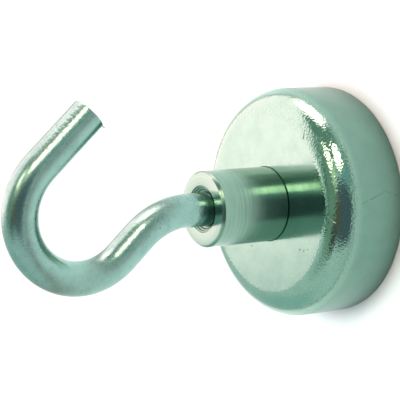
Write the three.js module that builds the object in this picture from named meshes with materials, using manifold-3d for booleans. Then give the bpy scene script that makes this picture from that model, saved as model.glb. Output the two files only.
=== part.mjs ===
import * as THREE from 'three'
import { mergeVertices } from 'three/addons/utils/BufferGeometryUtils.js'
import Module from 'manifold-3d'

// Magnet-fishing hook magnet. Millimetres, +Z from the working face towards the hook.
// The working face lies on z = 0 and the hook lies in the XZ plane, its tip on +X.

const pot = { radius: 12.5, height: 8.4, shoulder: 3.0, rimChamfer: 0.3, recessRadius: 10.7, recessDepth: 5.2 }
const magnet = { radius: 9.6, thickness: 5.05, edge: 0.25 }
const resin = { sunkBelowRim: 0.15 }
const boss = { radius: 4.05, top: 16.85, chamfer: 0.3, footGroove: 0.12 }
const spigot = { radius: 3.0, clearance: 0.02, flare: 0.5, flareHeight: 0.6 }
const thread = { pitch: 0.7, crest: 0.1, root: 0.18, turns: 11, clearance: 0.09 }
const screw = { majorRadius: 1.95, rootRadius: 1.55, pointRadius: 1.3, tip: 8.6 }
const hole = { bottom: 7.6, drillConeHeight: 0.9, mouthRadius: 2.5, mouthDepth: 0.43 }
const shank = { radius: 1.79, buried: 0.5 }
const wire = { radius: 1.8, shankOutside: 2.05, straight: 2.92, tipStraight: 7.05 }

// Bends of the wire in order: radius of its centre line and angle turned.
const firstBend = { radius: 7.71, degrees: 44.3 }
const loopBends = [
  { radius: 6.47, degrees: 64.9 },
  { radius: 7.39, degrees: 42.5 },
  { radius: 6.62, degrees: 72.1 }
]

const roundSides = 96
const threadSides = 40
const wireSides = 28
const shoulderSteps = 8
const stepPerWireRing = 0.75
const weldDistance = 1e-5

const materials = {
  plating: { color: 0xb4bdb6, roughness: 0.24, metalness: 1 },
  turned: { color: 0xb9c0b8, roughness: 0.2, metalness: 1 },
  hookPlating: { color: 0xa9b6b4, roughness: 0.22, metalness: 1 },
  magnetPlating: { color: 0xc4c2ba, roughness: 0.18, metalness: 1 },
  glue: { color: 0xc9c2a4, roughness: 0.5, metalness: 0 },
  resin: { color: 0x1d1f20, roughness: 0.35, metalness: 0 }
}

const wasm = await Module()
wasm.setup()

function toSolid (geometry) {
  const bare = geometry.clone()
  bare.deleteAttribute('normal')
  bare.deleteAttribute('uv')
  const welded = mergeVertices(bare, weldDistance)
  return new wasm.Manifold(new wasm.Mesh({
    numProp: 3,
    vertProperties: Float32Array.from(welded.attributes.position.array),
    triVerts: Uint32Array.from(welded.index.array)
  }))
}

function toGeometry (solid) {
  const mesh = solid.getMesh()
  const geometry = new THREE.BufferGeometry()
  geometry.setAttribute('position', new THREE.BufferAttribute(Float32Array.from(mesh.vertProperties), 3))
  geometry.setIndex(new THREE.BufferAttribute(Uint32Array.from(mesh.triVerts), 1))
  geometry.computeVertexNormals()
  return geometry
}

// A body of revolution about Z from [radius, height] pairs, listed from the bottom up its outside.
function turnedSolid (profile, sides) {
  const points = profile.map(([radius, height]) => new THREE.Vector2(radius, height))
  const geometry = new THREE.LatheGeometry(points, sides)
  geometry.rotateX(Math.PI / 2)
  return geometry
}

function closedTurned (profile, sides) {
  return turnedSolid([...profile, profile[0]], sides)
}

function arcProfile (centreRadius, centreHeight, radius, fromDegrees, toDegrees, steps) {
  const points = []
  for (let step = 0; step <= steps; step++) {
    const angle = THREE.MathUtils.degToRad(fromDegrees + (toDegrees - fromDegrees) * step / steps)
    points.push([centreRadius + radius * Math.cos(angle), centreHeight + radius * Math.sin(angle)])
  }
  return points
}

// Thread ridges as rings at the real pitch, so that the screw turns without touching the hole.
function threadProfile (rootRadius, crestRadius) {
  const flank = (thread.pitch - thread.crest - thread.root) / 2
  const points = []
  for (let turn = 0; turn < thread.turns; turn++) {
    const start = screw.tip + turn * thread.pitch + thread.root / 2
    points.push([rootRadius, start])
    points.push([crestRadius, start + flank])
    points.push([crestRadius, start + flank + thread.crest])
    points.push([rootRadius, start + 2 * flank + thread.crest])
  }
  return points
}

class HookLine extends THREE.Curve {
  constructor () {
    super()
    this.points = []
    let x = 0
    let z = boss.top
    let heading = 0
    const advance = (length, turn, steps) => {
      for (let step = 0; step < steps; step++) {
        const halfTurn = turn / steps / 2
        const shrink = halfTurn === 0 ? 1 : Math.sin(halfTurn) / halfTurn
        heading += halfTurn
        x += Math.sin(heading) * length / steps * shrink
        z += Math.cos(heading) * length / steps * shrink
        heading += halfTurn
        this.points.push(new THREE.Vector3(x, 0, z))
      }
    }
    const bend = ({ radius, degrees }, direction) => {
      const angle = THREE.MathUtils.degToRad(degrees)
      advance(radius * angle, direction * angle, Math.ceil(radius * angle / stepPerWireRing))
    }
    this.points.push(new THREE.Vector3(x, 0, z))
    advance(wire.shankOutside, 0, 2)
    bend(firstBend, -1)
    advance(wire.straight, 0, 2)
    loopBends.forEach((each) => bend(each, 1))
    advance(wire.tipStraight, 0, 3)
  }

  getPoint (fraction, target = new THREE.Vector3()) {
    const place = fraction * (this.points.length - 1)
    const index = Math.min(Math.floor(place), this.points.length - 2)
    return target.lerpVectors(this.points[index], this.points[index + 1], place - index)
  }

  getPointAt (fraction, target) {
    return this.getPoint(fraction, target)
  }

  getTangent (fraction, target = new THREE.Vector3()) {
    const reach = 0.5 / (this.points.length - 1)
    const before = this.getPoint(Math.max(0, fraction - reach))
    const after = this.getPoint(Math.min(1, fraction + reach))
    return target.subVectors(after, before).normalize()
  }

  getTangentAt (fraction, target) {
    return this.getTangent(fraction, target)
  }
}

function potShell () {
  const holeRadius = spigot.radius + spigot.clearance
  const countersinkRadius = holeRadius + spigot.flare
  return closedTurned([
    [countersinkRadius, pot.recessDepth],
    [pot.recessRadius, pot.recessDepth],
    [pot.recessRadius, 0],
    [pot.radius - pot.rimChamfer, 0],
    [pot.radius, pot.rimChamfer],
    ...arcProfile(pot.radius - pot.shoulder, pot.height - pot.shoulder, pot.shoulder, 0, 90, shoulderSteps),
    [holeRadius, pot.height],
    [holeRadius, pot.recessDepth + spigot.flareHeight]
  ], roundSides)
}

function threadedBoss () {
  const holeRoot = screw.majorRadius + thread.clearance
  const holeCrest = screw.rootRadius + thread.clearance
  return turnedSolid([
    [0, pot.recessDepth],
    [spigot.radius + spigot.flare, pot.recessDepth],
    [spigot.radius, pot.recessDepth + spigot.flareHeight],
    [spigot.radius, pot.height],
    [boss.radius - boss.footGroove, pot.height],
    [boss.radius, pot.height + boss.footGroove],
    [boss.radius, boss.top - boss.chamfer],
    [boss.radius - boss.chamfer, boss.top],
    [hole.mouthRadius, boss.top],
    [holeRoot, boss.top - hole.mouthDepth],
    ...threadProfile(holeCrest, holeRoot).reverse(),
    [holeCrest, hole.bottom + hole.drillConeHeight],
    [0, hole.bottom]
  ], threadSides)
}

function hookShank () {
  const endOfThread = screw.tip + thread.turns * thread.pitch
  return turnedSolid([
    [0, screw.tip],
    [screw.pointRadius, screw.tip],
    ...threadProfile(screw.rootRadius, screw.majorRadius),
    [screw.rootRadius, endOfThread],
    [shank.radius, endOfThread + thread.root],
    [shank.radius, boss.top + shank.buried],
    [0, boss.top + shank.buried]
  ], threadSides)
}

function hookWire () {
  const line = new HookLine()
  const section = new THREE.Shape()
  section.absarc(0, 0, wire.radius, 0, Math.PI * 2)
  return new THREE.ExtrudeGeometry(section, {
    steps: line.points.length - 1,
    curveSegments: wireSides / 2,
    bevelEnabled: false,
    extrudePath: line
  })
}

function screwHook () {
  return toGeometry(toSolid(hookShank()).add(toSolid(hookWire())))
}

function magnetDisc () {
  return turnedSolid([
    [0, 0],
    [magnet.radius - magnet.edge, 0],
    [magnet.radius, magnet.edge],
    [magnet.radius, magnet.thickness - magnet.edge],
    [magnet.radius - magnet.edge, magnet.thickness],
    [0, magnet.thickness]
  ], roundSides)
}

function glueLayer () {
  const radius = magnet.radius - magnet.edge
  return turnedSolid([
    [0, magnet.thickness],
    [radius, magnet.thickness],
    [radius, pot.recessDepth],
    [0, pot.recessDepth]
  ], roundSides)
}

function resinRing () {
  return closedTurned([
    [magnet.radius, resin.sunkBelowRim],
    [pot.recessRadius, resin.sunkBelowRim],
    [pot.recessRadius, pot.recessDepth],
    [magnet.radius, pot.recessDepth]
  ], roundSides)
}

const group = new THREE.Group()
group.name = 'fishing_hook_magnet'

function place (name, geometry, look) {
  const mesh = new THREE.Mesh(geometry, new THREE.MeshStandardMaterial(look))
  mesh.name = name
  group.add(mesh)
}

place('pot_shell', potShell(), materials.plating)
place('threaded_boss', threadedBoss(), materials.turned)
place('screw_hook', screwHook(), materials.hookPlating)
place('magnet_disc', magnetDisc(), materials.magnetPlating)
place('glue_layer', glueLayer(), materials.glue)
place('resin_ring', resinRing(), materials.resin)

export default group
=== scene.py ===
import math

import bmesh
import bpy
from mathutils import Matrix, Vector


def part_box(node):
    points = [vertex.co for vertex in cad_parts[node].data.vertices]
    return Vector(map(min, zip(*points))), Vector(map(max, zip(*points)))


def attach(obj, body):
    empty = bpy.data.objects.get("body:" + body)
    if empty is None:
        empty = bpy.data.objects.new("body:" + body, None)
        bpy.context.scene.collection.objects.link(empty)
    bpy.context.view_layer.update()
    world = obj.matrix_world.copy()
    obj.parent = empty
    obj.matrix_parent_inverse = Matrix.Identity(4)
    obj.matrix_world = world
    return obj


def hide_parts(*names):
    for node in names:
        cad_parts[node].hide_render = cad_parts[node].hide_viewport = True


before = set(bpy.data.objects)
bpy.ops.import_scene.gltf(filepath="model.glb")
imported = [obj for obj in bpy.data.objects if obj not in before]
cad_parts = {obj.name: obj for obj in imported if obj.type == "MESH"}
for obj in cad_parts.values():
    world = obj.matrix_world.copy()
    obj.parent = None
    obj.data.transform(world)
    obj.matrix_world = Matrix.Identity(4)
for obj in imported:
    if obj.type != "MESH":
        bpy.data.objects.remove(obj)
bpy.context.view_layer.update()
mm = 0.001


class Field:
    # a number that changes over a surface; sums and products of it add Math nodes
    def __init__(self, shader, socket):
        self.shader = shader
        self.socket = socket

    def combine(self, operation, first, second):
        return self.shader.node("ShaderNodeMath", {"operation": operation}, {0: first, 1: second})

    def __add__(self, other):
        return self.combine("ADD", self, other)

    def __radd__(self, other):
        return self.combine("ADD", other, self)

    def __sub__(self, other):
        return self.combine("SUBTRACT", self, other)

    def __rsub__(self, other):
        return self.combine("SUBTRACT", other, self)

    def __mul__(self, other):
        return self.combine("MULTIPLY", self, other)

    def __rmul__(self, other):
        return self.combine("MULTIPLY", other, self)

    def __truediv__(self, other):
        return self.combine("DIVIDE", self, other)

    def __rtruediv__(self, other):
        return self.combine("DIVIDE", other, self)

    def __pow__(self, other):
        return self.combine("POWER", self, other)

    def __rpow__(self, other):
        return self.combine("POWER", other, self)

    def __abs__(self):
        return self.combine("ABSOLUTE", self, 0)


class Shader:
    # adds nodes to one node tree
    def __init__(self, tree):
        self.tree = tree

    def node(self, kind, settings=None, inputs=None, output=0):
        made = self.tree.nodes.new(kind)
        for key, value in (settings or {}).items():
            setattr(made, key, value)
        for key, value in (inputs or {}).items():
            self.feed(made.inputs[key], value)
        return Field(self, made.outputs[output])

    def feed(self, socket, value):
        if isinstance(value, Field):
            self.tree.links.new(value.socket, socket)
        else:
            socket.default_value = value

    def soft(self, value, start, end, low=0.0, high=1.0):
        # an eased step from low to high as the value goes from start to end
        return self.node("ShaderNodeMapRange", {"interpolation_type": "SMOOTHSTEP"}, {
            "Value": value, "From Min": start, "From Max": end, "To Min": low, "To Max": high})

    def near(self, distance, inside, outside):
        # 1 closer than inside, 0 farther than outside, on both sides
        return self.soft(abs(distance), inside, outside, 1, 0)

    def mixColour(self, mask, first, second):
        # sockets 6 and 7 are the Mix node's two colours, output 2 its colour
        inputs = {"Factor": mask, 6: first, 7: second}
        return self.node("ShaderNodeMix", {"data_type": "RGBA"}, inputs, output=2)

    def noise(self, where, scale, detail=2.0, rough=0.5):
        inputs = {"Vector": where, "Scale": scale, "Detail": detail, "Roughness": rough}
        return self.node("ShaderNodeTexNoise", None, inputs)

    def spots(self, where, scale, size):
        # round spots scattered at random, with a soft edge between the two sizes
        away = self.node("ShaderNodeTexVoronoi", {"feature": "F1"}, {"Vector": where, "Scale": scale})
        return self.soft(away, *size, 1, 0)


class Finish(Shader):
    # one material; the constants are set on the shader itself, and places are in millimetres
    def __init__(self, name, constants):
        self.material = bpy.data.materials.new(name)
        self.material.use_nodes = True
        super().__init__(self.material.node_tree)
        self.principled = self.tree.nodes["Principled BSDF"]
        for socket, value in constants.items():
            self.principled.inputs[socket].default_value = value
        coords = self.node("ShaderNodeTexCoord", output=3)
        self.place = self.node("ShaderNodeVectorMath", {"operation": "SCALE"}, {0: coords, "Scale": 1 / mm})
        self.x = self.node("ShaderNodeSeparateXYZ", None, {0: self.place})
        split = self.x.socket.node
        self.y = Field(self, split.outputs[1])
        self.z = Field(self, split.outputs[2])
        self.radius = (self.x * self.x + self.y * self.y) ** 0.5

    def vector(self, x, y, z):
        return self.node("ShaderNodeCombineXYZ", None, {0: x, 1: y, 2: z})

    def finish(self, **fields):
        # heightMm is the relief in millimetres; the other words are the shader's sockets
        height = fields.pop("heightMm")
        for socket, value in fields.items():
            self.feed(self.principled.inputs[socket.replace("_", " ")], value)
        bump = self.node("ShaderNodeBump", None, {"Strength": 1.0, "Distance": mm, "Height": height})
        self.feed(self.principled.inputs["Normal"], bump)
        return self.material


def meshPiece(name, vertices, faces, material, body, replaced, sharpDegrees=32):
    mesh = bpy.data.meshes.new(name)
    mesh.from_pydata([Vector(v) * mm for v in vertices], [], faces)
    bm = bmesh.new()
    bm.from_mesh(mesh)
    bmesh.ops.remove_doubles(bm, verts=bm.verts, dist=1e-7)
    bmesh.ops.recalc_face_normals(bm, faces=bm.faces)
    bm.to_mesh(mesh)
    bm.free()
    mesh.shade_smooth()
    mesh.set_sharp_from_angle(angle=math.radians(sharpDegrees))
    mesh.materials.append(material)
    piece = bpy.data.objects.new(name, mesh)
    bpy.context.scene.collection.objects.link(piece)
    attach(piece, body)
    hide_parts(replaced)
    return piece


def roundedProfile(points, steps=5):
    # points are (radius, height) or (radius, height, corner radius); corners with a radius become arcs
    out = []
    count = len(points)
    for index, point in enumerate(points):
        corner = point[2] if len(point) > 2 else 0
        here = Vector(point[:2])
        if not corner:
            out.append(tuple(here))
            continue
        back = (Vector(points[index - 1][:2]) - here).normalized()
        ahead = (Vector(points[(index + 1) % count][:2]) - here).normalized()
        half = back.angle(ahead) / 2
        middle = here + (back + ahead).normalized() * (corner / math.sin(half))
        start = here + back * (corner / math.tan(half)) - middle
        end = here + ahead * (corner / math.tan(half)) - middle
        sweep = math.atan2(start.x * end.y - start.y * end.x, start.dot(end))
        for step in range(steps + 1):
            turn = Matrix.Rotation(sweep * step / steps, 2)
            out.append(tuple(middle + turn @ start))
    return out


def turned(profile, sides, closed):
    # vertices and faces of a body of revolution about Z
    vertices, faces = [], []
    count = len(profile)
    onAxis = 1e-6
    for side in range(sides):
        angle = 2 * math.pi * side / sides
        for radius, height in profile:
            vertices.append((radius * math.cos(angle), radius * math.sin(angle), height))
    for side in range(sides):
        ahead = (side + 1) % sides
        for index in range(count if closed else count - 1):
            following = (index + 1) % count
            a = side * count + index
            b = ahead * count + index
            c = ahead * count + following
            d = side * count + following
            if profile[index][0] < onAxis:
                faces.append((a, c, d))
            elif profile[following][0] < onAxis:
                faces.append((a, b, c))
            else:
                faces.append((a, b, c, d))
    return vertices, faces


def boxMm(node):
    low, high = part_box(node)
    return low / mm, high / mm


potHigh = boxMm("pot_shell")[1]
bossLow, bossHigh = boxMm("threaded_boss")
magnetHigh = boxMm("magnet_disc")[1]
resinLow, resinHigh = boxMm("resin_ring")

potRadius, potTop = potHigh.x, potHigh.z
bossRadius, bossTop = bossHigh.x, bossHigh.z
recessDepth = bossLow.z
magnetRadius, magnetTop = magnetHigh.x, magnetHigh.z
recessRadius, resinFace = resinHigh.x, resinLow.z

# the thread's ridges are rings, so that the hook turns without cutting the boss
threadForm = {
    "pitch": 0.7, "crest": 0.1, "root": 0.18, "turns": 11, "start": 8.6,
    "screwCrest": 1.95, "screwRoot": 1.55, "clearance": 0.09,
}


def threadProfile(rootRadius, crestRadius):
    flank = (threadForm["pitch"] - threadForm["crest"] - threadForm["root"]) / 2
    points = []
    for turn in range(threadForm["turns"]):
        start = threadForm["start"] + turn * threadForm["pitch"] + threadForm["root"] / 2
        points.append((rootRadius, start))
        points.append((crestRadius, start + flank))
        points.append((crestRadius, start + flank + threadForm["crest"]))
        points.append((rootRadius, start + 2 * flank + threadForm["crest"]))
    return points


# the cup: bright nickel plate over tumbled steel, turned flat on its back
pot = {
    "shoulder": 3.0, "shoulderSteps": 36, "sides": 256,
    "rimCorner": 0.1, "recessCorner": 0.12, "recessRim": 0.08,
    "spigotRadius": 3.02, "flare": 0.5, "flareHeight": 0.6,
    "footGroove": 0.06, "footGap": 0.02, "footLedge": 0.1, "footSlope": 0.05,
    "colour": (0.30, 0.50, 0.415, 1), "dullColour": (0.26, 0.45, 0.375, 1),
    # the wall's colour is a darker copy of the plating: painted shade for the shadowed floor that the wall
    # reflects
    "wallShadeColour": (0.152, 0.28, 0.233, 1), "markColour": (0.05, 0.055, 0.045, 1),
    "backRough": 0.14, "shoulderRough": 0.09, "wallRough": 0.32, "smearRough": 0.08, "markRough": 0.25,
    "cloudScale": 0.16, "smearScale": 0.5, "dimpleScale": 1.1, "wanderScale": 1.3,
    "grainScale": 4.8, "fineScale": 5.0, "grindScale": 9.0,
    "shoulderGrain": 0.017, "wallGrain": 0.005, "backGrain": 0.0012,
    "shoulderFine": 0.001, "wallFine": 0.001, "backFine": 0.0003,
    "dimple": 0.010, "backDimple": 0.004, "markDepth": 0.02, "grindDepth": 0.008,
    "speckle": (0.40, 0.60), "darkSpeck": (0.13, 0.25, 0.20, 1),
    "shoulderSpeckle": 0.15, "wallSpeckle": 0.1, "backSpeckle": 0.04,
    # a bent scratch that runs up the front of the wall
    "scratch": {"x": 3.67, "bend": 0.34, "bendHeight": 2.4, "wander": 0.5, "width": (0.02, 0.08),
                "middle": 3.1, "length": (2.2, 2.9), "strength": (0.2, 0.5)},
    # a nick across the shoulder and a tick on the edge of the flat back
    "nick": {"x": 0.78, "y": -10.7, "slope": 0.61, "width": (0.03, 0.09),
             "middle": -10.6, "length": (0.45, 0.65)},
    "tick": {"x": 8.4, "y": -5.33, "width": (0.02, 0.08), "length": (0.25, 0.4)},
    # small dark pits on the flat back: x, y and radius
    "pits": [(-5.24, 1.86, 0.13), (-2.26, -5.41, 0.11), (-3.52, -6.43, 0.16), (-3.46, -7.1, 0.13),
             (-3.18, -7.72, 0.12)],
    "pitStrength": 0.55,
}


def potMarks(m):
    # how much of a mark there is at each place, from 0 to 1
    scratch, nick, tick = pot["scratch"], pot["nick"], pot["tick"]
    wander = m.noise(m.place, pot["wanderScale"], 2) - 0.5
    inFront = m.soft(m.y, -2, -1, 1, 0)
    bend = abs(m.z - scratch["bendHeight"]) * scratch["bend"]
    marks = m.near(m.x - scratch["x"] + bend + wander * scratch["wander"], *scratch["width"])
    marks = marks * m.near(m.z - scratch["middle"], *scratch["length"]) * inFront
    marks = marks * m.soft(wander, -0.15, 0.1, *scratch["strength"])
    nickLine = m.x - nick["x"] - (m.y - nick["y"]) * nick["slope"]
    marks = marks + m.near(nickLine, *nick["width"]) * m.near(m.y - nick["middle"], *nick["length"])
    marks = marks + m.near(m.y - tick["y"], *tick["width"]) * m.near(m.x - tick["x"], *tick["length"])
    for x, y, radius in pot["pits"]:
        away = ((m.x - x) * (m.x - x) + (m.y - y) * (m.y - y)) ** 0.5
        marks = marks + m.soft(away + wander * 0.15, radius * 0.4, radius, pot["pitStrength"], 0)
    aboveWorkingFace = m.soft(m.z, 0.3, 0.5)
    return marks * aboveWorkingFace


def potFinish():
    m = Finish("tumbledNickel", {"Metallic": 1.0, "Roughness": 0.2, "IOR": 1.6})
    shoulderStart = potRadius - pot["shoulder"]
    wallTop = potTop - pot["shoulder"]
    pastFlat = m.soft(m.radius, shoulderStart - 0.3, shoulderStart + 0.35)
    onShoulder = pastFlat * m.soft(m.z, wallTop - 0.2, wallTop + 0.9)
    onWall = m.soft(m.z, wallTop - 0.1, wallTop + 1.8, 1, 0)
    onBack = m.soft(onShoulder + onWall, 0, 1, 1, 0)
    onWorkingFace = m.soft(m.z, 0.02, 0.05, 1, 0)
    cloud = m.noise(m.place, pot["cloudScale"], 3)
    smear = m.noise(m.place, pot["smearScale"], 4, 0.6)
    grain = m.noise(m.place, pot["grainScale"], 0)
    fine = m.noise(m.place, pot["fineScale"], 2, 0.7)
    dimple = m.noise(m.place, pot["dimpleScale"], 2)
    grind = m.noise(m.vector(m.radius, 0, 0), pot["grindScale"], 3) * onWorkingFace
    marks = potMarks(m)
    grainDepth = onShoulder * pot["shoulderGrain"] + onWall * pot["wallGrain"] + pot["backGrain"]
    fineDepth = onShoulder * pot["shoulderFine"] + onWall * pot["wallFine"] + pot["backFine"]
    dimpleDepth = onShoulder * pot["dimple"] + pot["backDimple"]
    height = (grain - 0.5) * grainDepth + (fine - 0.5) * fineDepth + (dimple - 0.5) * dimpleDepth
    height = height - marks * pot["markDepth"] + grind * pot["grindDepth"]
    rough = onShoulder * pot["shoulderRough"] + onWall * pot["wallRough"] + onBack * pot["backRough"]
    rough = rough + (smear - 0.5) * pot["smearRough"] + marks * pot["markRough"]
    colour = m.mixColour(m.soft(smear, 0.3, 0.8), pot["colour"], pot["dullColour"])
    colour = m.mixColour(m.soft(cloud, 0.45, 0.65, 0, 0.35), colour, pot["dullColour"])
    # painted shade: the wall takes the darker copy of the plating, standing in for the dim floor it reflects
    colour = m.mixColour(onWall * m.soft(smear, 0.3, 0.7, 1, 0.85), colour, pot["wallShadeColour"])
    speckled = onShoulder * pot["shoulderSpeckle"] + onWall * pot["wallSpeckle"] + pot["backSpeckle"]
    colour = m.mixColour(m.soft(fine, *pot["speckle"], 1, 0) * speckled, colour, pot["darkSpeck"])
    colour = m.mixColour(m.soft(marks, 0, 1, 0, 0.85), colour, pot["markColour"])
    return m.finish(Base_Color=colour, Roughness=rough, heightMm=height)


def buildPot():
    spigot = pot["spigotRadius"]
    wallTop = potTop - pot["shoulder"]
    shoulder = []
    for step in range(1, pot["shoulderSteps"] + 1):
        angle = math.pi / 2 * step / pot["shoulderSteps"]
        radius = potRadius - pot["shoulder"] * (1 - math.cos(angle))
        shoulder.append((radius, wallTop + pot["shoulder"] * math.sin(angle)))
    groove = pot["footGroove"]
    ledge = bossRadius - 2 * groove - pot["footLedge"]
    profile = roundedProfile([
        (spigot + pot["flare"], recessDepth),
        (recessRadius, recessDepth, pot["recessCorner"]),
        (recessRadius, 0, pot["recessRim"]),
        (potRadius, 0, pot["rimCorner"]),
        (potRadius, wallTop),
    ]) + shoulder + [
        (bossRadius + groove, potTop),
        (bossRadius - pot["footGap"], potTop - groove),
        (ledge, potTop - groove),
        (ledge - pot["footSlope"], potTop),
        (spigot, potTop),
        (spigot, recessDepth + pot["flareHeight"]),
    ]
    vertices, faces = turned(profile, pot["sides"], closed=True)
    meshPiece("potShell", vertices, faces, potFinish(), "magnet", "pot_shell")
    print("pot built")


# the boss: a turned stem with a threaded hole, its tool marks running round it
boss = {
    "spigotRadius": 3.0, "flare": 0.5, "flareHeight": 0.6, "sides": 192,
    "chamfer": 0.26, "footChamfer": 0.12, "edge": 0.05, "mouthEdge": 0.04,
    # the mouth steps down into the thread: radius and depth of each step
    "mouthRadius": 2.5, "terraces": [(2.43, 0.15), (2.33, 0.17), (2.25, 0.33), (2.15, 0.35)],
    "mouthDepth": 0.5, "holeBottom": 7.6, "drillCone": 0.9,
    # the side's colours are a darker copy of the plating, painted shade that dims the floor the side
    # reflects; the end face keeps a lighter copy
    "colour": (0.235, 0.39, 0.32, 1), "dullColour": (0.19, 0.325, 0.265, 1),
    "faceColour": (0.30, 0.475, 0.40, 1), "pitColour": (0.07, 0.08, 0.07, 1),
    "rough": 0.23, "faceRough": 0.15, "holeRough": 0.3, "smearRough": 0.07, "lineRough": 0.10,
    "anisotropic": 0.75, "anisotropicTurn": 0.25,
    "fineScale": 9.0, "fineMarks": 0.0026, "fineDrift": 0.02,
    "broadScale": 1.7, "broadMarks": 0.002, "broadDrift": 0.06,
    "smearScale": 0.7, "grainScale": 4.5, "grain": 0.0016,
    "pitScale": 0.9, "pitSize": (0.04, 0.07), "pitDepth": 0.015,
}


def bossFinish():
    m = Finish("turnedNickel", {
        "Metallic": 1.0, "Roughness": 0.2, "IOR": 1.6,
        "Anisotropic": boss["anisotropic"], "Anisotropic Rotation": boss["anisotropicTurn"]})
    # the cutting tool leaves lines round the side and rings on the end face, and both drift a little
    along = m.radius + m.z
    fineDrift, broadDrift = boss["fineDrift"], boss["broadDrift"]
    fine = m.noise(m.vector(along, m.x * fineDrift, m.y * fineDrift), boss["fineScale"], 2, 0.6)
    broad = m.noise(m.vector(along, m.x * broadDrift, m.y * broadDrift), boss["broadScale"], 2)
    smear = m.noise(m.place, boss["smearScale"], 3)
    grain = m.noise(m.place, boss["grainScale"], 2, 0.6)
    pit = m.spots(m.place, boss["pitScale"], boss["pitSize"]) * m.soft(smear, 0.5, 0.6)
    onFace = m.soft(m.z, bossTop - 0.1, bossTop - 0.04)
    inHole = m.soft(m.radius, 2.4, 2.48, 1, 0) * m.soft(m.z, 9.0, 9.4)
    height = (fine - 0.5) * boss["fineMarks"] + (broad - 0.5) * boss["broadMarks"]
    height = height + (grain - 0.5) * boss["grain"] - pit * boss["pitDepth"]
    rough = boss["rough"] - onFace * (boss["rough"] - boss["faceRough"]) + (smear - 0.5) * boss["smearRough"]
    rough = rough + (fine - 0.5) * boss["lineRough"] + inHole * (boss["holeRough"] - boss["rough"])
    colour = m.mixColour(m.soft(fine, 0.38, 0.68), boss["colour"], boss["dullColour"])
    # the end face takes the lighter copy of the plating and the side keeps the darker one, which is painted
    # shade
    colour = m.mixColour(onFace * m.soft(fine, 0.3, 0.7, 1, 0.8), colour, boss["faceColour"])
    colour = m.mixColour(m.soft(pit, 0, 1, 0, 0.6), colour, boss["pitColour"])
    return m.finish(Base_Color=colour, Roughness=rough, heightMm=height)


def buildBoss():
    holeRoot = threadForm["screwCrest"] + threadForm["clearance"]
    holeCrest = threadForm["screwRoot"] + threadForm["clearance"]
    edge = boss["edge"]
    profile = roundedProfile([
        (0, recessDepth),
        (boss["spigotRadius"] + boss["flare"], recessDepth),
        (boss["spigotRadius"], recessDepth + boss["flareHeight"]),
        (boss["spigotRadius"], potTop),
        (bossRadius - boss["footChamfer"], potTop),
        (bossRadius, potTop + boss["footChamfer"], edge),
        (bossRadius, bossTop - boss["chamfer"], edge),
        (bossRadius - boss["chamfer"], bossTop, edge),
        (boss["mouthRadius"], bossTop, boss["mouthEdge"]),
        *[(radius, bossTop - depth) for radius, depth in boss["terraces"]],
        (holeRoot, bossTop - boss["mouthDepth"]),
        *threadProfile(holeCrest, holeRoot)[::-1],
        (holeCrest, boss["holeBottom"] + boss["drillCone"]),
        (0, boss["holeBottom"]),
    ])
    vertices, faces = turned(profile, boss["sides"], closed=False)
    meshPiece("threadedBoss", vertices, faces, bossFinish(), "magnet", "threaded_boss")
    print("boss built")


# the hook: plated wire, bent, with a rolled thread on its end and a cut, burred tip
hook = {
    "wireRadius": 1.785, "pointRadius": 1.3, "step": 0.22, "sides": 64, "sharpDegrees": 40,
    # straights are lengths, bends are the radius of the centre line and the angle turned
    "shankOutside": 2.05, "firstBend": (7.71, -44.3), "straight": 2.92,
    "loopBends": [(6.47, 64.9), (7.39, 42.5), (6.62, 72.1)], "tipStraight": 7.05,
    "tipCorner": 0.06, "tipSteps": 5,
    "burrAngle": -0.3, "burrSpread": 0.2, "burrAhead": 0.12, "burrOut": 0.5,
    "colour": (0.262, 0.445, 0.40, 1), "dullColour": (0.228, 0.40, 0.368, 1),
    "pitColour": (0.04, 0.045, 0.045, 1),
    "rough": 0.26, "smearRough": 0.12, "pitRough": 0.2,
    "cloudScale": 0.25, "smearScale": 0.8, "grainScale": 4.6, "fineScale": 5.0, "dimpleScale": 1.4,
    "grain": 0.012, "fine": 0.002, "dimple": 0.010,
    "pitScale": 0.55, "pitSize": (0.03, 0.06), "pitDepth": 0.01,
    "speckle": (0.40, 0.60), "speckleStrength": (0.06, 0.22), "darkSpeck": (0.13, 0.25, 0.22, 1),
}


def hookFinish():
    m = Finish("drawnWireNickel", {"Metallic": 1.0, "Roughness": 0.2, "IOR": 1.6})
    cloud = m.noise(m.place, hook["cloudScale"], 3)
    smear = m.noise(m.place, hook["smearScale"], 4, 0.6)
    grain = m.noise(m.place, hook["grainScale"], 0)
    fine = m.noise(m.place, hook["fineScale"], 2, 0.7)
    dimple = m.noise(m.place, hook["dimpleScale"], 2)
    pit = m.spots(m.place, hook["pitScale"], hook["pitSize"]) * m.soft(cloud, 0.5, 0.58)
    # the grain comes and goes along the wire
    height = (grain - 0.5) * (hook["grain"] * m.soft(cloud, 0.35, 0.6, 0.5, 1.2))
    height = height + (fine - 0.5) * (hook["fine"] * m.soft(smear, 0.35, 0.6, 0.4, 1.2))
    height = height + (dimple - 0.5) * hook["dimple"] - pit * hook["pitDepth"]
    rough = hook["rough"] + (smear - 0.5) * hook["smearRough"] + pit * hook["pitRough"]
    colour = m.mixColour(m.soft(smear, 0.35, 0.75), hook["colour"], hook["dullColour"])
    speckled = m.soft(smear, 0.35, 0.6, *hook["speckleStrength"])
    colour = m.mixColour(m.soft(fine, *hook["speckle"], 1, 0) * speckled, colour, hook["darkSpeck"])
    colour = m.mixColour(m.soft(pit, 0, 1, 0, 0.7), colour, hook["pitColour"])
    return m.finish(Base_Color=colour, Roughness=rough, heightMm=height)


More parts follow.
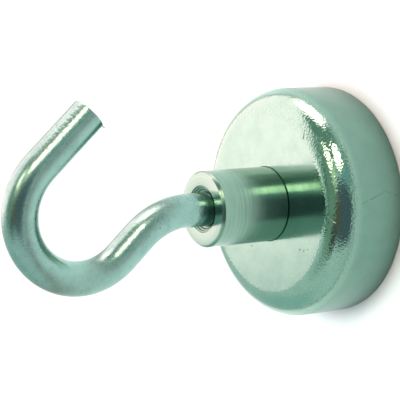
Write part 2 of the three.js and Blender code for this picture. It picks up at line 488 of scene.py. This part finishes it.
def hookLine():
    # points, headings and distances of the wire's centre line in the XZ plane
    x, z, heading, run = 0.0, bossTop, 0.0, 0.0
    line = [(x, z, heading, run)]
    firstRadius, firstDegrees = hook["firstBend"]
    firstAngle = math.radians(firstDegrees)
    spans = [(hook["shankOutside"], 0.0)]
    spans.append((firstRadius * abs(firstAngle), firstAngle))
    spans.append((hook["straight"], 0.0))
    for radius, degrees in hook["loopBends"]:
        angle = math.radians(degrees)
        spans.append((radius * angle, angle))
    spans.append((hook["tipStraight"], 0.0))
    for length, turn in spans:
        steps = math.ceil(length / hook["step"])
        for _ in range(steps):
            half = turn / steps / 2
            chord = length / steps * (math.sin(half) / half if half else 1)
            heading += half
            x += math.sin(heading) * chord
            z += math.cos(heading) * chord
            heading += half
            run += length / steps
            line.append((x, z, heading, run))
    return line


def hookRings(line):
    # each ring: centre x, centre z, heading, radius and how much of the burr it carries
    wireRadius = hook["wireRadius"]
    endOfThread = threadForm["start"] + threadForm["turns"] * threadForm["pitch"]
    shank = [(hook["pointRadius"], threadForm["start"])]
    shank += threadProfile(threadForm["screwRoot"], threadForm["screwCrest"])
    shank += [(threadForm["screwRoot"], endOfThread), (wireRadius, endOfThread + threadForm["root"])]
    rings = [(0.0, height, 0.0, radius, 0.0) for radius, height in shank]
    corner = hook["tipCorner"]
    tipX, tipZ, tipHeading, lastRun = line[-1]
    for x, z, heading, run in line:
        if run < lastRun - corner * 2:
            rings.append((x, z, heading, wireRadius, 0.0))
    for step in range(hook["tipSteps"] + 1):
        angle = math.pi / 2 * step / hook["tipSteps"]
        back = corner * (1 - math.sin(angle))
        x = tipX - math.sin(tipHeading) * back
        z = tipZ - math.cos(tipHeading) * back
        rings.append((x, z, tipHeading, wireRadius - corner * (1 - math.cos(angle)), math.sin(angle * 2)))
    return rings


def buildHook():
    sides = hook["sides"]
    line = hookLine()
    rings = hookRings(line)
    vertices, faces = [], []
    for x, z, heading, radius, burr in rings:
        across = Vector((math.cos(heading), 0, -math.sin(heading)))
        ahead = Vector((math.sin(heading), 0, math.cos(heading)))
        for side in range(sides):
            angle = 2 * math.pi * side / sides
            out = across * math.cos(angle) + Vector((0, 1, 0)) * math.sin(angle)
            # the cutters leave a thin lip where they met, on the inner side of the cut end
            aside = math.remainder(angle - hook["burrAngle"], 2 * math.pi)
            lip = burr * math.exp(-(aside / hook["burrSpread"]) ** 2)
            outward = out * (radius + hook["burrOut"] * lip)
            vertices.append(tuple(Vector((x, 0, z)) + outward + ahead * hook["burrAhead"] * lip))
    for ring in range(len(rings) - 1):
        a = ring * sides
        b = a + sides
        for side in range(sides):
            following = (side + 1) % sides
            faces.append((a + side, a + following, b + following, b + side))
    tipX, tipZ = line[-1][:2]
    start = len(vertices)
    vertices.append((0, 0, threadForm["start"]))
    vertices.append((tipX, 0, tipZ))
    last = (len(rings) - 1) * sides
    for side in range(sides):
        following = (side + 1) % sides
        faces.append((start, following, side))
        faces.append((start + 1, last + side, last + following))
    meshPiece("screwHook", vertices, faces, hookFinish(), "hook", "screw_hook",
              hook["sharpDegrees"])
    print("hook built")


# the magnet, seen only on the working face
magnet = {
    "corner": 0.22, "cornerSteps": 8, "sides": 192,
    "colour": (0.60, 0.60, 0.56, 1), "dullColour": (0.50, 0.50, 0.46, 1), "pitColour": (0.1, 0.1, 0.09, 1),
    "rough": 0.12, "rubRough": 0.18, "pitRough": 0.2,
    "smearScale": 0.35, "peelScale": 2.2, "rubScale": 3.2, "peel": 0.004, "rub": 0.002,
    "pitScale": 0.45, "pitSize": (0.03, 0.06), "pitDepth": 0.015,
}


def magnetFinish():
    m = Finish("brightMagnetNickel", {"Metallic": 1.0, "Roughness": 0.2})
    smear = m.noise(m.place, magnet["smearScale"], 4, 0.6)
    peel = m.noise(m.place, magnet["peelScale"], 3)
    # rubbing against steel leaves fine slanting lines
    rub = m.noise(m.vector(m.x * 0.15 + m.y * 0.9, m.x * 1.2, 0), magnet["rubScale"], 5, 0.7)
    pit = m.spots(m.place, magnet["pitScale"], magnet["pitSize"]) * m.soft(smear, 0.5, 0.6)
    height = (peel - 0.5) * magnet["peel"] + (rub - 0.5) * magnet["rub"] - pit * magnet["pitDepth"]
    rough = magnet["rough"] + m.soft(rub, 0.5, 0.8) * magnet["rubRough"] + pit * magnet["pitRough"]
    colour = m.mixColour(m.soft(smear, 0.35, 0.7), magnet["colour"], magnet["dullColour"])
    colour = m.mixColour(m.soft(pit, 0, 1, 0, 0.7), colour, magnet["pitColour"])
    return m.finish(Base_Color=colour, Roughness=rough, heightMm=height)


def buildMagnet():
    profile = roundedProfile([
        (0, 0),
        (magnetRadius, 0, magnet["corner"]),
        (magnetRadius, magnetTop, magnet["corner"]),
        (0, magnetTop),
    ], magnet["cornerSteps"])
    vertices, faces = turned(profile, magnet["sides"], closed=False)
    meshPiece("magnetDisc", vertices, faces, magnetFinish(), "magnet", "magnet_disc")
    print("magnet built")


# the resin shrinks as it cures, so its face hangs slightly hollow between the magnet and the cup
resin = {
    "dip": 0.12, "dipSteps": 10, "sides": 192,
    "colour": (0.016, 0.017, 0.018, 1), "paleColour": (0.035, 0.036, 0.037, 1),
    "rough": 0.22, "cloudRough": 0.25, "cloudScale": 0.8, "cloudHeight": 0.02,
    "bubbleScale": 1.6, "bubbleSize": (0.06, 0.16), "bubbleDepth": 0.05,
}


def resinFinish():
    m = Finish("castBlackResin", {"Metallic": 0.0, "Roughness": 0.3, "IOR": 1.52})
    cloud = m.noise(m.place, resin["cloudScale"], 4)
    bubble = m.spots(m.place, resin["bubbleScale"], resin["bubbleSize"]) * m.soft(cloud, 0.48, 0.58)
    height = (cloud - 0.5) * resin["cloudHeight"] - bubble * resin["bubbleDepth"]
    colour = m.mixColour(m.soft(cloud, 0.3, 0.8), resin["colour"], resin["paleColour"])
    rough = resin["rough"] + cloud * resin["cloudRough"]
    return m.finish(Base_Color=colour, Roughness=rough, heightMm=height)


def buildResin():
    profile = []
    for step in range(resin["dipSteps"] + 1):
        part = step / resin["dipSteps"]
        sunk = resin["dip"] * 4 * part * (1 - part)
        profile.append((magnetRadius + (recessRadius - magnetRadius) * part, resinFace + sunk))
    profile += [(recessRadius, recessDepth), (magnetRadius, recessDepth)]
    vertices, faces = turned(profile, resin["sides"], closed=True)
    meshPiece("resinRing", vertices, faces, resinFinish(), "magnet", "resin_ring")
    print("resin built")


# the glue keeps its own solid and only gets a finish
glue = {
    "colour": (0.62, 0.57, 0.40, 1), "darkColour": (0.42, 0.37, 0.24, 1),
    "rough": 0.35, "cloudRough": 0.3, "cloudScale": 0.5, "cloudHeight": 0.02,
}


def finishGlue():
    m = Finish("curedGlue", {"Metallic": 0.0, "Roughness": 0.4, "IOR": 1.5})
    cloud = m.noise(m.place, glue["cloudScale"], 4)
    height = (cloud - 0.5) * glue["cloudHeight"]
    colour = m.mixColour(m.soft(cloud, 0.3, 0.7), glue["colour"], glue["darkColour"])
    rough = glue["rough"] + cloud * glue["cloudRough"]
    material = m.finish(Base_Color=colour, Roughness=rough, heightMm=height)
    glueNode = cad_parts["glue_layer"]
    glueNode.data.materials.clear()
    glueNode.data.materials.append(material)
    print("glue finished")


# the studio: pale floor, a world of soft panels and one lamp above the object; the floor and the lamp's
# size are in metres, its place in millimetres
studio = {
    "floorSize": 4.0, "floorBelow": 0.02, "floorColour": (0.54, 0.54, 0.54, 1),
    "floorRough": 0.7, "floorGloss": 0.2, "base": (0.85, 0.92, 0.88),
    "lampPlace": (0, 16, 130), "lampSize": 0.08, "lampPower": 0.325, "lampColour": (0.88, 1.0, 1.02),
}

# soft panels round the object: where each one hangs, its half sizes in degrees, and how bright it is
panels = [
    {"azimuth": 0, "elevation": 88, "wide": 30, "high": 24, "soft": 0.5, "colour": (0.34, 0.46, 0.34)},
    {"azimuth": -60, "elevation": 16, "wide": 22, "high": 20, "soft": 0.6, "colour": (0.58, 0.78, 0.74)},
    {"azimuth": 22.5, "elevation": 12, "wide": 38.5, "high": 46, "soft": 0.22, "colour": (2.85, 1.98, 2.0)},
    {"azimuth": 92, "elevation": 34, "wide": 26, "high": 26, "soft": 0.3, "colour": (0.30, 0.43, 0.36)},
    {"azimuth": 73, "elevation": 8, "wide": 18, "high": 21, "soft": 0.2, "colour": (4.8, 3.2, 3.1)},
    {"azimuth": 138, "elevation": 16, "wide": 17, "high": 24, "soft": 0.4, "colour": (0.38, 0.58, 0.57)},
    {"azimuth": 182, "elevation": 38, "wide": 27, "high": 29, "soft": 0.3, "colour": (0.15, 0.18, 0.21)},
    {"azimuth": -128, "elevation": 67, "wide": 14, "high": 9, "soft": 0.5, "colour": (0.12, 0.13, 0.13)},
    {"azimuth": -168, "elevation": 66, "wide": 12, "high": 9, "soft": 0.5, "colour": (0.22, 0.16, 0.12)},
    {"azimuth": 118, "elevation": 64, "wide": 12, "high": 10, "soft": 0.3, "colour": (1.1, 1.1, 0.75)},
    {"azimuth": 102, "elevation": 60, "wide": 5, "high": 7.5, "soft": 0.25, "colour": (9.0, 6.6, 4.8)},
    {"azimuth": 123, "elevation": 31, "wide": 9, "high": 10.5, "soft": 0.2, "colour": (10.5, 7.2, 5.4)},
]


def compass(azimuth, elevation):
    # azimuth 0 is along +Y and 90 along +X
    a, e = math.radians(azimuth), math.radians(elevation)
    return Vector((math.sin(a) * math.cos(e), math.cos(a) * math.cos(e), math.sin(e)))


def buildStudio():
    world = bpy.data.worlds.new("studioWorld")
    bpy.context.scene.world = world
    world.use_nodes = True
    sky = Shader(world.node_tree)
    towards = sky.node("ShaderNodeTexCoord", output=0)

    def along(vector):
        inputs = {0: towards, 1: vector}
        return sky.node("ShaderNodeVectorMath", {"operation": "DOT_PRODUCT"}, inputs, output=1)

    colour = (*studio["base"], 1)
    for panel in panels:
        front = compass(panel["azimuth"], panel["elevation"])
        right = compass(panel["azimuth"] + 90, 0)
        up = right.cross(front)
        depth = along(front)
        across = abs(along(right) / depth) / math.tan(math.radians(panel["wide"]))
        over = abs(along(up) / depth) / math.tan(math.radians(panel["high"]))
        reach = (across ** 4 + over ** 4) ** 0.25  # a rectangle with round corners
        mask = sky.soft(reach, 1 - panel["soft"], 1 + panel["soft"], 1, 0) * sky.soft(depth, 0.02, 0.1)
        colour = sky.mixColour(mask, colour, (*panel["colour"], 1))
    sky.feed(sky.tree.nodes["Background"].inputs["Color"], colour)

    floorMesh = bpy.data.meshes.new("paleFloor")
    half = studio["floorSize"] / 2
    corners = [(-half, -half, 0), (half, -half, 0), (half, half, 0), (-half, half, 0)]
    floorMesh.from_pydata(corners, [], [(0, 1, 2, 3)])
    floor = bpy.data.objects.new("paleFloor", floorMesh)
    floor.location.z = -studio["floorBelow"] * mm
    bpy.context.scene.collection.objects.link(floor)
    paint = Finish("paleFloorPaint", {"Roughness": studio["floorRough"], "Base Color": studio["floorColour"],
                                      "Specular IOR Level": studio["floorGloss"]})
    floorMesh.materials.append(paint.material)

    light = bpy.data.lights.new("backLamp", "AREA")
    light.shape = "DISK"
    light.size = studio["lampSize"]
    light.energy = studio["lampPower"]
    light.color = studio["lampColour"]
    lamp = bpy.data.objects.new("backLamp", light)
    bpy.context.scene.collection.objects.link(lamp)
    lamp.location = Vector(studio["lampPlace"]) * mm
    lamp.rotation_mode = "QUATERNION"
    lamp.rotation_quaternion = (-lamp.location).to_track_quat("-Z", "Y")
    lamp.visible_glossy = False
    lamp.visible_camera = False
    print("studio built")


# where the camera stands in millimetres, the way it looks and which way is up in its picture
view = {
    "place": (29.59, -103.583, 89.608),
    "looksAlong": (-0.2204, 0.7993, -0.5591),
    "up": (0.9729, 0.221, -0.0676),
    "lens": 111.6, "sensor": 36.0,
}


def buildCamera():
    ahead = Vector(view["looksAlong"]).normalized()
    right = ahead.cross(Vector(view["up"])).normalized()
    up = right.cross(ahead)
    data = bpy.data.cameras.new("camera")
    data.lens = view["lens"]
    data.sensor_width = view["sensor"]
    data.clip_start = 0.01
    data.clip_end = 20
    camera = bpy.data.objects.new("camera", data)
    bpy.context.scene.collection.objects.link(camera)
    turn = Matrix((right, up, -ahead)).transposed().to_4x4()
    camera.matrix_world = Matrix.Translation(Vector(view["place"]) * mm) @ turn
    bpy.context.scene.camera = camera
    bpy.context.scene.view_settings.view_transform = "Standard"
    print("camera set")


buildPot()
buildBoss()
buildHook()
buildMagnet()
buildResin()
finishGlue()
buildStudio()
buildCamera()
